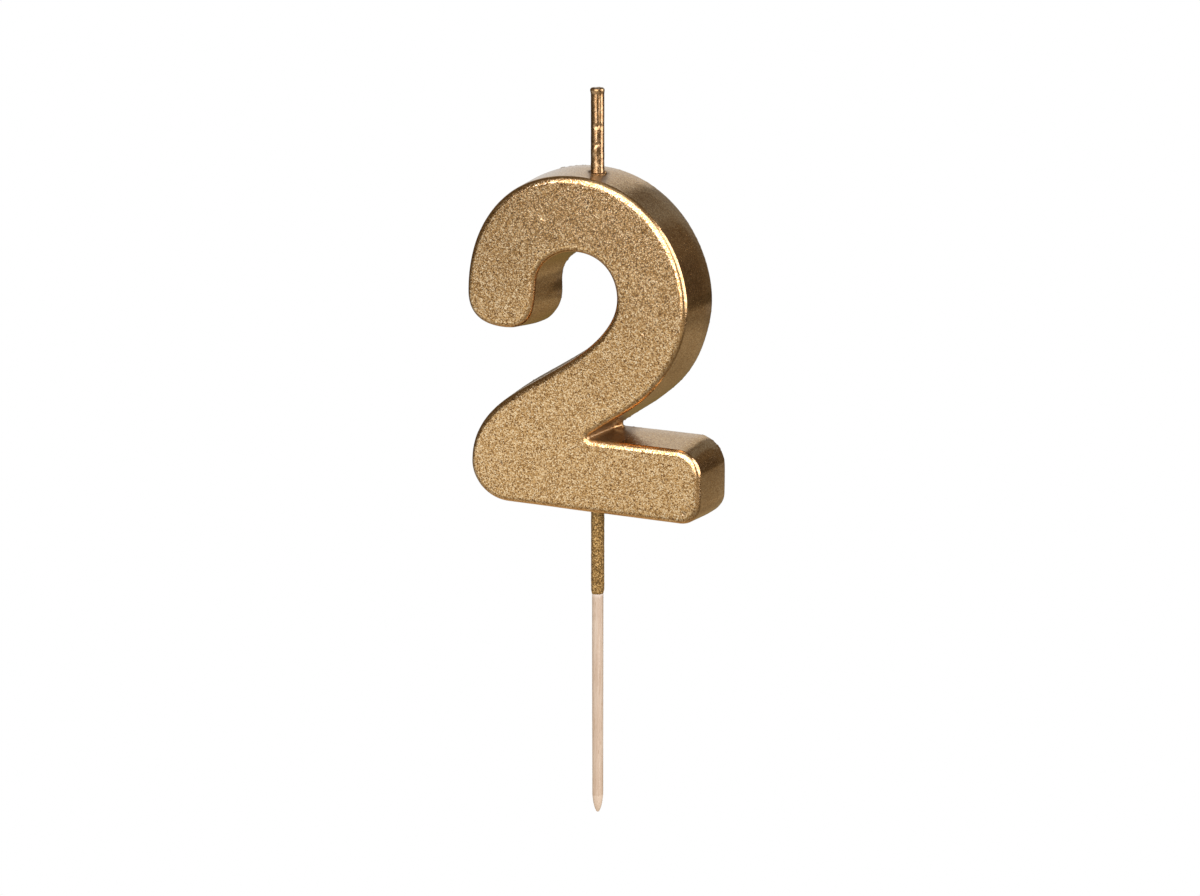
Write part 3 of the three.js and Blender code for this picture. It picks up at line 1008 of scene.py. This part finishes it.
def lacquer_skin(angles, z, top):
    """Radius of the lacquered wick at height z: groove, pinch, wrinkle and facets."""
    side = turn_gap(angles, SEAM)
    points = on_ring(angles, COAT_R, z)
    down = top - z
    radius = COAT_R - GROOVE_DEPTH * hill(side, 0, 0.42) * (0.6 + 0.4 * hill(down, 4 * MM, 5 * MM))
    radius -= BACK_GROOVE_DEPTH * hill(turn_gap(side, math.pi), 0, 0.5)
    pinch = down - PINCH_DOWN - np.abs(side) * 0.5 * MM
    radius -= PINCH_DEPTH * hill(pinch, 0, 0.75 * MM) * hill(side, -0.05, 1.1)
    wrinkle = down - WRINKLE_DOWN + 0.25 * MM * side
    ridge = smoothstep(-0.8, -0.1, wrinkle / MM) * (1 - smoothstep(0.3, 1.6, wrinkle / MM))
    radius += WRINKLE_HEIGHT * ridge * hill(side, -0.9, 1.0)
    radius -= WRINKLE_DENT * hill(wrinkle, -0.9 * MM, 0.5 * MM) * hill(side, -0.6, 1.2)
    low = smoothstep(11.5, 16, down / MM)
    radius += MM * (0.015 + 0.035 * low) * rough(points, 1.1 * MM, 11)
    radius += 0.012 * MM * rough(points * np.array([1, 1, 0.3]), 0.5 * MM, 12)
    return radius + 0.006 * MM * rough(points, 0.3 * MM, 13)


def settled(angles, radius, z, foot):
    """That radius and height, with the rows near the foot lying along the crown."""
    share = 1 - smoothstep(0, COAT_SETTLE, z - foot)
    return radius, z + share * crown_rise(angles, radius)


def coat_wall(angles, z, foot, top):
    flare = 0.04 * MM * (1 - smoothstep(0, 2.2 * MM, z - foot))
    return settled(angles, lacquer_skin(angles, z, top) + flare, z, foot)


def coat_bore(angles, z, foot, top):
    return settled(angles, COAT_BORE, z, foot)


def coat_plug(angles, z, foot, top):
    """The middle of the tip's inside, all but a point."""
    return 0.01 * MM, z


def tip_rim(angles, top):
    """Radius and height of the uneven rim of the dipped tip."""
    bump = hill(turn_gap(angles, TIP_LUMP), 0, 0.8)
    lumps = rough(on_ring(angles, 1, 0), 0.45, 21)
    rim = TIP_R - 0.03 * MM + 0.09 * MM * bump + 0.04 * MM * lumps
    return rim, top - TIP_DROP + 0.06 * MM * bump + 0.10 * MM * lumps


def coat_tip(angles, t, foot, top):
    """The swell up to the tip's rim (t up to a half) and the rounding over it."""
    rim, height = tip_rim(angles, top)
    start = top - TIP_LENGTH
    if t < 0.5:
        wall = lacquer_skin(angles, start, top)
        return wall + (rim - wall) * smoothstep(0, 0.5, t), start + TIP_SWELL * t / 0.5
    turn = (t - 0.5) / 0.5 * math.pi / 2
    shoulder = start + TIP_SWELL
    return rim - TIP_ROUND * (1 - math.cos(turn)), shoulder + (height - shoulder) * math.sin(turn)


def coat_lid(angles, t, foot, top):
    """The dished top of the tip, from its rim (t = 1) to its middle (0)."""
    rim, height = tip_rim(angles, top)
    dish = TIP_DISH * (1 - t ** 2)
    return (rim - TIP_ROUND) * t, height * t + (top - TIP_DROP) * (1 - t) - dish


def wick_coat(material):
    """Lacquer over the plait: a thin tube, closed by the dipped tip and open at the root."""
    foot, top = CROWN + 0.06 * MM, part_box("wick_gold_coat")[1][2]
    rows = [(coat_wall, z) for z in np.arange(foot, top - TIP_LENGTH, COAT_STEP)]
    rows += [(coat_tip, t) for t in np.linspace(0, 1, 16)]
    rows += [(coat_lid, t) for t in (0.75, 0.5, 0.25, 0.02)]
    rows += [(coat_plug, top - LID_UNDER), (coat_bore, top - LID_UNDER - 0.01 * MM)]
    rows += [(coat_bore, z) for z in np.linspace(top - 2 * MM, foot, 8)]

    def place(angles, row):
        shape, value = row
        return shape(angles, value, foot, top)

    piece = turned("wick_lacquer", material, rows, COAT_SIDES, place, ends="loop")
    attach(piece, "gold_lacquer", "wick_gold_coat")


def wick_seal(material):
    """The wax that closes the wick's hole, smoothed level with the crown, with a blob on its right."""
    low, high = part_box("wick_seal")
    foot, outer = low[2], high[0]
    profile = [(SEAL_BORE, foot), (outer, foot), (outer, CROWN - 0.2 * MM),
               (outer + 0.07 * MM, CROWN + 0.005 * MM), (outer - 0.1 * MM, CROWN + 0.02 * MM),
               (COAT_R + 0.1 * MM, CROWN + 0.02 * MM), (SEAL_BORE, CROWN + 0.03 * MM)]
    rows = [(start, end, t) for start, end in zip(profile, profile[1:]) for t in (0, 0.25, 0.5, 0.75)]

    def place(angles, row):
        start, end, t = row
        radius = start[0] + (end[0] - start[0]) * t
        height = start[1] + (end[1] - start[1]) * t
        shown = smoothstep(-0.3, 0.1, (height - CROWN) / MM) * smoothstep(1.1, 1.3, radius / MM)
        points = on_ring(angles, radius, height)
        lumps = 0.02 * rough(points, 0.9 * MM, 31) + 0.01 * rough(points, 0.4 * MM, 32)
        right = hill(turn_gap(angles, math.radians(8)), 0, 0.42)
        blob = right + 0.35 * hill(turn_gap(angles, 3.7), 0, 0.4)
        lift = BLOB_HEIGHT * blob * hill(radius, COAT_R + 0.32 * MM, 0.24 * MM)
        return radius + MM * shown * lumps, height + shown * (lift + crown_rise(angles, radius))

    piece = turned("wick_root_bead", material, rows, SEAL_SIDES, place, ends="loop")
    # painted shade on the bead around the wick's root
    mark_painted_shade(piece)
    attach(piece, "gold_wax", "wick_seal")


# ---- the pick --------------------------------------------------------

PICK_SIDES = 64
PICK_TAPER = 4.2 * MM               # length of the cut point
PICK_POINT_R = 0.42 * MM            # radius that blunts it
PICK_THINNEST = 0.99                # the shaft just above the point, in CAD radii
PICK_SWELL = 0.03                   # what it gains on its way up
PICK_CHAMFER = 0.2 * MM
FLATS = 7                           # faint flats around the shaft
FLAT_DEPTH = 0.012 * MM
FINE_FIBRES = 0.012 * MM
COARSE_FIBRES = 0.02 * MM
SLEEVE_R = 1.40 * MM
SLEEVE_SIDES = 72
COAT_END_UP = 0.35 * MM             # the visible coat ends this much above its CAD sleeve's end
RAGGED = 0.16 * MM                  # how uneven that end is
END_TILT = 0.10 * MM
END_THIN = 0.14 * MM                # and how much thinner
END_LENGTH = 1.1 * MM
GRIT = 0.035 * MM
LUMPS = 0.03 * MM
SOLE_LIFT = 0.18 * MM               # its upper edge reaches this far above the sleeve's
SOLE_SLOPE = -0.0728                # and follows the slope of the sole
SLEEVE_FLARE = 0.16 * MM            # and is this much wider


def pick_radius(up, down, full):
    """Radius of the bare pick that far above its tip and below its top: blunt point, bevel, shaft."""
    slim = full * (PICK_THINNEST + PICK_SWELL * smoothstep(4, 45, up / MM))
    if up < PICK_POINT_R:
        return math.sqrt(max(2 * PICK_POINT_R * up - up * up, 0))
    if up < PICK_TAPER:
        s = (up - PICK_POINT_R) / (PICK_TAPER - PICK_POINT_R)
        return PICK_POINT_R + (slim - PICK_POINT_R) * (1.72 * s - 0.72 * s * s) ** 0.8
    return slim - PICK_CHAMFER * smoothstep(-0.2, 0, -down / MM)


def wooden_pick(material):
    """A turned birch stick: faint flats and fibres, a bevel crease where it narrows and a blunt point."""
    low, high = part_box("wooden_pick")
    tip, top, full = low[2], high[2], high[0]
    point = [tip + PICK_POINT_R * (1 - math.cos(t)) for t in np.linspace(0.25, 1.35, 5)]
    bevel = list(np.linspace(tip + PICK_POINT_R, tip + PICK_TAPER, 24))
    shaft = list(np.linspace(tip + PICK_TAPER + 0.15 * MM, top - PICK_CHAMFER, 150))
    rows = point + bevel + shaft + [top - 0.05 * MM, top]

    def place(angles, z):
        up = z - tip
        points = on_ring(angles, full, z * 0.02)        # noise stretched lengthwise, as fibres are
        fibres = FINE_FIBRES * rough(points, 0.22 * MM, 41) + COARSE_FIBRES * rough(points, 1.1 * MM, 42)
        flats = FLAT_DEPTH * np.cos(FLATS * angles + 1.3)
        fade = smoothstep(0.3, 3.0, up / MM)
        return pick_radius(up, top - z, full) + fade * (fibres + flats - COARSE_FIBRES), z

    piece = turned("birch_pick", material, rows, PICK_SIDES, place)
    attach(piece, "birch", "wooden_pick")


def pick_gold(material):
    """The gritty gold coat on the pick's upper end, ragged where the dip ended."""
    low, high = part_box("pick_gold_coat")
    foot, top = low[2] + COAT_END_UP, high[2]
    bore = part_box("wooden_pick")[1][0] + CLEARANCE
    rows = [("out", z) for z in np.linspace(foot, top, 130)]
    rows += [("flare", top)]
    rows += [("in", z) for z in np.linspace(top, foot, 10)]

    def place(angles, row):
        kind, z = row
        if kind == "flare":
            return SLEEVE_R + SLEEVE_FLARE, z + SOLE_LIFT + SOLE_SLOPE * SLEEVE_R * np.sin(angles)
        up = z - foot
        ragged = RAGGED * rough(on_ring(angles, 1, 0), 0.6, 51)
        tilt = END_TILT * np.cos(angles - 0.6)
        height = z + (ragged + tilt) * (1 - smoothstep(0, 3, up / MM))
        if kind == "in":
            return bore, height
        points = on_ring(angles, SLEEVE_R, z)
        grit = GRIT * rough(points, 0.35 * MM, 52) + LUMPS * rough(points, 0.9 * MM, 53)
        thinner = END_THIN * (1 - smoothstep(0, END_LENGTH, up)) ** 2
        return SLEEVE_R + grit - thinner, height

    piece = turned("pick_gold_sleeve", material, rows, SLEEVE_SIDES, place, ends="loop")
    attach(piece, "gold_spray", "pick_gold_coat")


def finish_bond(material):
    """The wax around the pick's hidden end keeps its CAD shape."""
    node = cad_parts["pick_bond_wax"]
    for slot in node.material_slots:
        slot.material = material


# ---- making it all ---------------------------------------------------

place_camera()
room()
white_floor()
mirrored_set()
lamps()
paint = gold_paint()
wax_numeral(paint)
yarn = cotton()
for strand in range(1, STRANDS + 1):
    wick_strand(strand, yarn)
wick_coat(gold_lacquer())
wick_seal(paint)
wooden_pick(birch())
pick_gold(gold_spray())
finish_bond(bare_wax())
